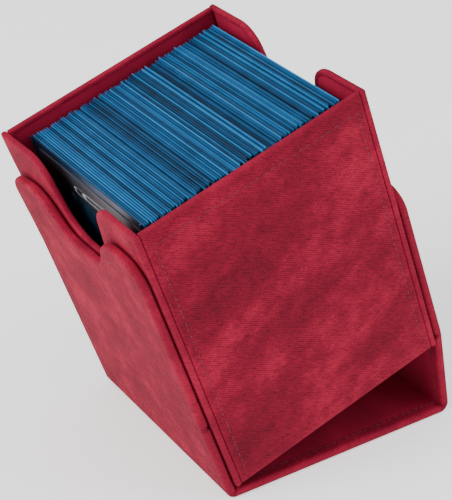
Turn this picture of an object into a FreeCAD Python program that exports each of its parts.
"""Card deck box: a fabric-covered tray of sleeved cards, leaning in its folding cover.

Lengths are in millimetres and angles in degrees.  The origin is the centre of the
cover base's underside, +X to the right, +Y to the back and +Z up.  Every piece is
first drawn with the cover upright, and is then turned about the fabric hinges into
the leaning pose in which the box stands open.
"""
import math
import os

import FreeCAD
import Part

# ---- tray -------------------------------------------------------------------------
TRAY_WIDTH = 77.6            # outside, left to right
TRAY_DEPTH = 78.3            # outside, front to back
TRAY_HEIGHT = 98.6           # outside, underside to rim
TRAY_BOARD = 1.3             # rigid board
TRAY_SKIN = 0.4              # outer fabric
TRAY_LINING = 0.3            # inner microfibre
TRAY_HEM = 1.6               # outer fabric turned over onto the inner face
TRAY_EDGE_RADIUS = 0.7       # wrapped edge

# ---- finger notch in the tray's side walls ------------------------------------------
NOTCH_DEPTH = 24.0
NOTCH_TOP_WIDTH = 32.2
NOTCH_BOTTOM_WIDTH = 19.6
NOTCH_SHOULDER_RADIUS = 9.0
NOTCH_BOTTOM_RADIUS = 11.5

# ---- cover --------------------------------------------------------------------------
COVER_BOARD = 2.0
COVER_SKIN = 0.45
COVER_LINING = 0.35
COVER_HEM = 4.0
COVER_EDGE_RADIUS = 1.0
COVER_SIDE_CLEARANCE = 0.3   # between an upright cover wall and the tray
COVER_SETBACK = 0.9          # the cover's ends sit behind the tray's faces
COVER_LEFT_HEIGHT = 94.2     # underside of the base to the top of the upright left wall
COVER_RIGHT_HEIGHT = 89.2    # the same, right wall
COVER_CORNER_RADIUS = 3.2    # outside radius of the two fabric corners
COVER_TOP_RADIUS = 8.0       # rounded top corners of the side walls
TRAY_FLOOR_CLEARANCE = 1.9   # between the base's lining and the tray

# ---- finger notch in the cover's side walls -------------------------------------------
COVER_NOTCH_DEPTH = 14.7
COVER_NOTCH_TOP_WIDTH = 38.4
COVER_NOTCH_BOTTOM_WIDTH = 19.8
COVER_NOTCH_SHOULDER_RADIUS = 12.0
COVER_NOTCH_BOTTOM_RADIUS = 8.0

# ---- fabric hinges ----------------------------------------------------------------------
FOLD_HEIGHT = 30.8           # fold line above the base's underside
FOLD_GAP = 2.2               # between the two boards at a fold
STRIP_THICKNESS = 0.8        # bare fabric between two boards
STRIP_CLEARANCE = 0.3
TILT = 18.0                  # lean of the tray and the left wall
RIGHT_WALL_GAP = 0.4         # the leaning tray to the right wall above its fold, beyond the clearance
RIGHT_CORNER_GAP = 0.1       # the leaning tray's lower corner to the right wall below its fold

# ---- magnets ------------------------------------------------------------------------------
MAGNET_DIAMETER = 8.0
MAGNET_SKIN = 0.3            # board left over each magnet
MAGNET_HEIGHT = 54.0         # above the tray's underside
MAGNET_INSET = 13.0          # from the tray's front and back faces

# ---- cards and sleeves ----------------------------------------------------------------------
CARD_WIDTH = 63.0
CARD_HEIGHT = 88.0
CARD_THICKNESS = 0.3
CARD_CORNER_RADIUS = 3.0
SLEEVE_WIDTH = 66.0
SLEEVE_HEIGHT = 92.0
SLEEVE_THICKNESS = 0.6
SLEEVE_WELD = 0.8            # welded edge of a sleeve
CARD_PLAY = 0.02             # air between a card and its sleeve
SLEEVE_PITCH = 0.75
SLEEVE_COUNT = 89            # sleeves behind the front one
DECK_START = 6.1             # tray's left face to the front card's sleeve
DECK_FLOOR_CLEARANCE = 0.3
DECK_BACK_GAP = 0.95         # the back panel's lining to the sleeves, which stand near it

TRAY_WALL = TRAY_SKIN + TRAY_BOARD + TRAY_LINING
COVER_WALL = COVER_SKIN + COVER_BOARD + COVER_LINING
COVER_WIDTH = TRAY_WIDTH + 2 * (COVER_SIDE_CLEARANCE + COVER_WALL)
COVER_DEPTH = TRAY_DEPTH - 2 * COVER_SETBACK
TRAY_LEFT = -TRAY_WIDTH / 2
TRAY_FRONT = -TRAY_DEPTH / 2
TRAY_BOTTOM = COVER_WALL + TRAY_FLOOR_CLEARANCE



def right_lower_lean():
    """Lean of the right wall below its fold: inwards until the wall lies along the leaning tray.

    The part above the fold meets the tray's side, or the part below it meets the tray's lower
    corner, whichever comes first.
    """
    tilt = math.radians(TILT)
    span = COVER_WIDTH - 2 * COVER_CORNER_RADIUS
    out = COVER_CORNER_RADIUS - COVER_WALL / 2
    up = FOLD_HEIGHT - COVER_CORNER_RADIUS
    reach = span + out + RIGHT_WALL_GAP - span * math.cos(tilt)
    above = math.acos(reach / math.hypot(out, up)) - math.atan2(up, out) + tilt
    along = span / 2 + TRAY_WIDTH / 2
    high = TRAY_BOTTOM - COVER_CORNER_RADIUS
    corner_x = along * math.cos(tilt) - high * math.sin(tilt) - span
    corner_z = along * math.sin(tilt) + high * math.cos(tilt)
    room = COVER_CORNER_RADIUS - COVER_WALL - RIGHT_CORNER_GAP
    below = math.atan2(corner_z, corner_x) - math.acos(room / math.hypot(corner_x, corner_z))
    return math.degrees(min(above, below))


RIGHT_LOWER_TILT = right_lower_lean()

X = FreeCAD.Vector(1, 0, 0)
Y = FreeCAD.Vector(0, 1, 0)
Z = FreeCAD.Vector(0, 0, 1)

LEFT_CORNER = FreeCAD.Vector(-COVER_WIDTH / 2 + COVER_CORNER_RADIUS, 0, COVER_CORNER_RADIUS)
RIGHT_CORNER = FreeCAD.Vector(COVER_WIDTH / 2 - COVER_CORNER_RADIUS, 0, COVER_CORNER_RADIUS)
RIGHT_FOLD = FreeCAD.Vector(COVER_WIDTH / 2 - COVER_WALL / 2, 0, FOLD_HEIGHT)

pieces = {}


# ---- outlines -------------------------------------------------------------------------------
def rounded_face(corners):
    """A face in the XY plane from corners (x, y, radius); a radius of 0 stays sharp."""
    starts = []
    ends = []
    edges = []
    count = len(corners)
    for i, (x, y, radius) in enumerate(corners):
        here = FreeCAD.Vector(x, y, 0)
        before = FreeCAD.Vector(*corners[i - 1][:2], 0) - here
        after = FreeCAD.Vector(*corners[(i + 1) % count][:2], 0) - here
        before.normalize()
        after.normalize()
        half_angle = before.getAngle(after) / 2
        reach = radius / math.tan(half_angle)
        starts.append(here + before * reach)
        ends.append(here + after * reach)
        if radius > 0:
            inward = before + after
            inward.normalize()
            middle = here + inward * (radius / math.sin(half_angle) - radius)
            edges.append(Part.Arc(starts[i], middle, ends[i]).toShape())
        else:
            edges.append(None)
    loop = []
    for i in range(count):
        if edges[i]:
            loop.append(edges[i])
        loop.append(Part.LineSegment(ends[i], starts[(i + 1) % count]).toShape())
    return Part.Face(Part.Wire(loop))


def rectangle(width, height, radius=0.0):
    """Centred left to right, standing on y = 0."""
    side = width / 2
    return rounded_face([(-side, 0, radius), (side, 0, radius), (side, height, radius), (-side, height, radius)])


def notched_wall(width, height, corner_radius, notch_depth, top_width, bottom_width, shoulder, bottom_radius):
    """A side wall with a rounded notch in the middle of its top edge."""
    side = width / 2
    low = height - notch_depth
    return rounded_face([
        (-side, 0, 0),
        (side, 0, 0),
        (side, height, corner_radius),
        (top_width / 2, height, shoulder),
        (bottom_width / 2, low, bottom_radius),
        (-bottom_width / 2, low, bottom_radius),
        (-top_width / 2, height, shoulder),
        (-side, height, corner_radius),
    ])


def inset(face, distance):
    return Part.Face(face.OuterWire.makeOffset2D(-distance, 2))


def slab(face, low, high):
    raised = face.copy()
    raised.translate(Z * low)
    return raised.extrude(Z * (high - low))


# ---- panels ----------------------------------------------------------------------------------
def panel(name, face, board, skin, lining, hem, edge_radius, hinged=lambda x, y: False, magnets=()):
    """A wrapped board, lying outer face down: three closed solids that fit each other.

    The skin covers the outer face, turns round the board's edges and ends as a hem on
    the inner face, where the lining fills what is left.  Edges where hinged(x, y) is
    true carry on into a hinge and stay square.
    """
    wall = skin + board + lining
    block = slab(face, 0, wall)
    wrapped = []
    for edge in block.Edges:
        low, high = edge.ParameterRange
        middle = edge.valueAt((low + high) / 2)
        flat = abs(edge.BoundBox.ZLength) < 1e-6
        if flat and not hinged(middle.x, middle.y):
            wrapped.append(edge)
    block = block.makeFillet(edge_radius, wrapped)
    core = slab(inset(face, skin), skin, skin + board)
    inner = slab(inset(face, hem), skin + board, wall)
    discs = [
        Part.makeCylinder(MAGNET_DIAMETER / 2, board - MAGNET_SKIN, FreeCAD.Vector(x, y, skin + MAGNET_SKIN))
        for x, y in magnets
    ]
    made = {name + "_skin": block.cut([core, inner]), name + "_lining": inner}
    made[name + "_board"] = core.cut(discs) if discs else core
    if discs:
        made[name + "_magnets"] = Part.makeCompound(discs)
    return made


def place(made, origin, across, up, inward):
    """Stand panels up: local x, y and z go along across, up and inward."""
    matrix = FreeCAD.Matrix(
        across.x, up.x, inward.x, origin.x,
        across.y, up.y, inward.y, origin.y,
        across.z, up.z, inward.z, origin.z,
        0, 0, 0, 1,
    )
    for shape in made.values():
        shape.transformShape(matrix)
    return made


def turned(made, pivot, angle):
    """Turn pieces about a hinge line along +Y; a positive angle leans them to the right."""
    for shape in made.values():
        shape.rotate(pivot, Y, angle)
    return made


# ---- tray --------------------------------------------------------------------------------------
def tray():
    layers = dict(board=TRAY_BOARD, skin=TRAY_SKIN, lining=TRAY_LINING, hem=TRAY_HEM, edge_radius=TRAY_EDGE_RADIUS)
    magnet_at = [(side * (TRAY_DEPTH / 2 - MAGNET_INSET), MAGNET_HEIGHT) for side in (-1, 1)]
    side_wall = notched_wall(
        TRAY_DEPTH, TRAY_HEIGHT, 0.0, NOTCH_DEPTH, NOTCH_TOP_WIDTH, NOTCH_BOTTOM_WIDTH,
        NOTCH_SHOULDER_RADIUS, NOTCH_BOTTOM_RADIUS,
    )
    end_wall = rectangle(TRAY_WIDTH - 2 * TRAY_WALL, TRAY_HEIGHT)
    floor = rectangle(TRAY_WIDTH - 2 * TRAY_WALL, TRAY_DEPTH - 2 * TRAY_WALL)
    made = place(
        panel("tray_left", side_wall, magnets=magnet_at, **layers),
        X * TRAY_LEFT + Z * TRAY_BOTTOM, Y, Z, X,
    )
    made.update(place(
        panel("tray_right", side_wall, magnets=magnet_at, **layers),
        X * -TRAY_LEFT + Z * TRAY_BOTTOM, -Y, Z, -X,
    ))
    made.update(place(
        panel("tray_front", end_wall, **layers),
        Y * TRAY_FRONT + Z * TRAY_BOTTOM, -X, Z, Y,
    ))
    made.update(place(
        panel("tray_back", end_wall, **layers),
        Y * -TRAY_FRONT + Z * TRAY_BOTTOM, X, Z, -Y,
    ))
    made.update(place(
        panel("tray_floor", floor, **layers),
        Y * (TRAY_FRONT + TRAY_WALL) + Z * TRAY_BOTTOM, X, Y, Z,
    ))
    return made


# ---- cards -------------------------------------------------------------------------------------
def sleeve(open_front):
    """A sleeve standing on z = 0 with its back at the right; its clear front may be left out."""
    pocket = CARD_THICKNESS + 2 * CARD_PLAY
    front_film = (SLEEVE_THICKNESS - pocket) / 2
    body = Part.makeBox(SLEEVE_THICKNESS, SLEEVE_WIDTH, SLEEVE_HEIGHT, FreeCAD.Vector(0, -SLEEVE_WIDTH / 2, 0))
    inside = SLEEVE_WIDTH - 2 * SLEEVE_WELD
    start = 0 if open_front else front_film
    hollow = Part.makeBox(
        front_film + pocket - start, inside, SLEEVE_HEIGHT, FreeCAD.Vector(start, -inside / 2, SLEEVE_WELD)
    )
    return body.cut(hollow)


def card():
    """A card standing inside a sleeve that stands on z = 0."""
    front_film = (SLEEVE_THICKNESS - CARD_THICKNESS) / 2
    flat = slab(rectangle(CARD_WIDTH, CARD_HEIGHT, CARD_CORNER_RADIUS), 0, CARD_THICKNESS)
    start = FreeCAD.Vector(front_film, 0, SLEEVE_WELD + CARD_PLAY)
    return place({"card": flat}, start, Y, Z, X)["card"]


def deck():
    """A row of sleeved cards that stands on the tray's floor, fronts to the left."""
    start = X * (TRAY_LEFT + DECK_START) + Z * (TRAY_BOTTOM + TRAY_WALL + DECK_FLOOR_CLEARANCE)
    start += Y * (TRAY_DEPTH / 2 - TRAY_WALL - DECK_BACK_GAP - SLEEVE_WIDTH / 2)
    made = {"front_sleeve": sleeve(True), "front_card": card()}
    for shape in made.values():
        shape.translate(start)
    sleeves = []
    cards = []
    for i in range(1, SLEEVE_COUNT + 1):
        for row, shape in ((sleeves, sleeve(False)), (cards, card())):
            shape.translate(start + X * (SLEEVE_PITCH * i))
            row.append(shape)
    made["deck_sleeves"] = Part.makeCompound(sleeves)
    made["deck_cards"] = Part.makeCompound(cards)
    return made


# ---- cover -------------------------------------------------------------------------------------
COVER_LAYERS = dict(board=COVER_BOARD, skin=COVER_SKIN, lining=COVER_LINING, edge_radius=COVER_EDGE_RADIUS)


def cover_base():
    length = COVER_WIDTH - 2 * COVER_CORNER_RADIUS
    face = rectangle(length, COVER_DEPTH)
    made = panel("cover_base", face, hem=COVER_HEM, hinged=lambda x, y: abs(x) > length / 2 - 0.01, **COVER_LAYERS)
    return place(made, Y * (-COVER_DEPTH / 2), X, Y, Z)


def lower_wall(name):
    length = FOLD_HEIGHT - FOLD_GAP / 2 - COVER_CORNER_RADIUS
    face = rectangle(COVER_DEPTH, length)
    return panel(name, face, hem=COVER_HEM, hinged=lambda x, y: y < 0.01 or y > length - 0.01, **COVER_LAYERS)


def upper_wall(name, cover_height):
    face = notched_wall(
        COVER_DEPTH, cover_height - FOLD_HEIGHT - FOLD_GAP / 2, COVER_TOP_RADIUS, COVER_NOTCH_DEPTH,
        COVER_NOTCH_TOP_WIDTH, COVER_NOTCH_BOTTOM_WIDTH, COVER_NOTCH_SHOULDER_RADIUS, COVER_NOTCH_BOTTOM_RADIUS,
    )
    height = TRAY_BOTTOM + MAGNET_HEIGHT - FOLD_HEIGHT - FOLD_GAP / 2
    magnet_at = [(side * (TRAY_DEPTH / 2 - MAGNET_INSET), height) for side in (-1, 1)]
    return panel(name, face, hem=COVER_HEM, hinged=lambda x, y: y < 0.01, magnets=magnet_at, **COVER_LAYERS)


def on_left(made, height):
    return place(made, X * (-COVER_WIDTH / 2) + Z * height, Y, Z, X)


def on_right(made, height):
    return place(made, X * (COVER_WIDTH / 2) + Z * height, -Y, Z, -X)


def corner_strip(pivot, side, bend):
    """Fabric round a corner: a part of a ring about the hinge line, joined to the base."""
    inner = COVER_CORNER_RADIUS - COVER_WALL + STRIP_CLEARANCE
    sweep = bend - math.degrees(STRIP_CLEARANCE / COVER_CORNER_RADIUS)
    radial = rounded_face([
        (0, inner, 0), (COVER_DEPTH, inner, 0), (COVER_DEPTH, COVER_CORNER_RADIUS, 0), (0, COVER_CORNER_RADIUS, 0),
    ])
    placed = place({"strip": radial}, pivot - Y * (COVER_DEPTH / 2), Y, -Z, -X)["strip"]
    return placed.revolve(pivot, Y, -side * sweep)


def fold_strip(side):
    """Fabric between the two boards of a side wall, joined to the lower one."""
    low = FOLD_HEIGHT - FOLD_GAP / 2
    corner = FreeCAD.Vector(side * (COVER_WIDTH - COVER_WALL) / 2 - STRIP_THICKNESS / 2, -COVER_DEPTH / 2, low)
    return Part.makeBox(STRIP_THICKNESS, COVER_DEPTH, FOLD_GAP - STRIP_CLEARANCE, corner)


def build():
    base = cover_base()
    base["cover_left_corner_strip"] = corner_strip(LEFT_CORNER, -1, 90 - TILT)
    base["cover_right_corner_strip"] = corner_strip(RIGHT_CORNER, 1, 90)
    pieces.update(base)

    above_fold = FOLD_HEIGHT + FOLD_GAP / 2
    leaning = on_left(lower_wall("cover_left_lower"), COVER_CORNER_RADIUS)
    leaning["cover_left_fold_strip"] = fold_strip(-1)
    leaning.update(on_left(upper_wall("cover_left_upper", COVER_LEFT_HEIGHT), above_fold))
    leaning.update(tray())
    leaning.update(deck())
    pieces.update(turned(leaning, LEFT_CORNER, -TILT))

    right_upper = on_right(upper_wall("cover_right_upper", COVER_RIGHT_HEIGHT), above_fold)
    right = turned(right_upper, RIGHT_FOLD, RIGHT_LOWER_TILT - TILT)
    right.update(on_right(lower_wall("cover_right_lower"), COVER_CORNER_RADIUS))
    right["cover_right_fold_strip"] = fold_strip(1)
    pieces.update(turned(right, RIGHT_CORNER, -RIGHT_LOWER_TILT))


build()
os.makedirs("parts", exist_ok=True)
for name, shape in sorted(pieces.items()):
    if not shape.isValid():
        raise ValueError(name + " isn't a valid shape")
    shape.exportStep(os.path.join("parts", name + ".step"))
    print("%-28s %2d solids %10.1f mm3" % (name, len(shape.Solids), shape.Volume))
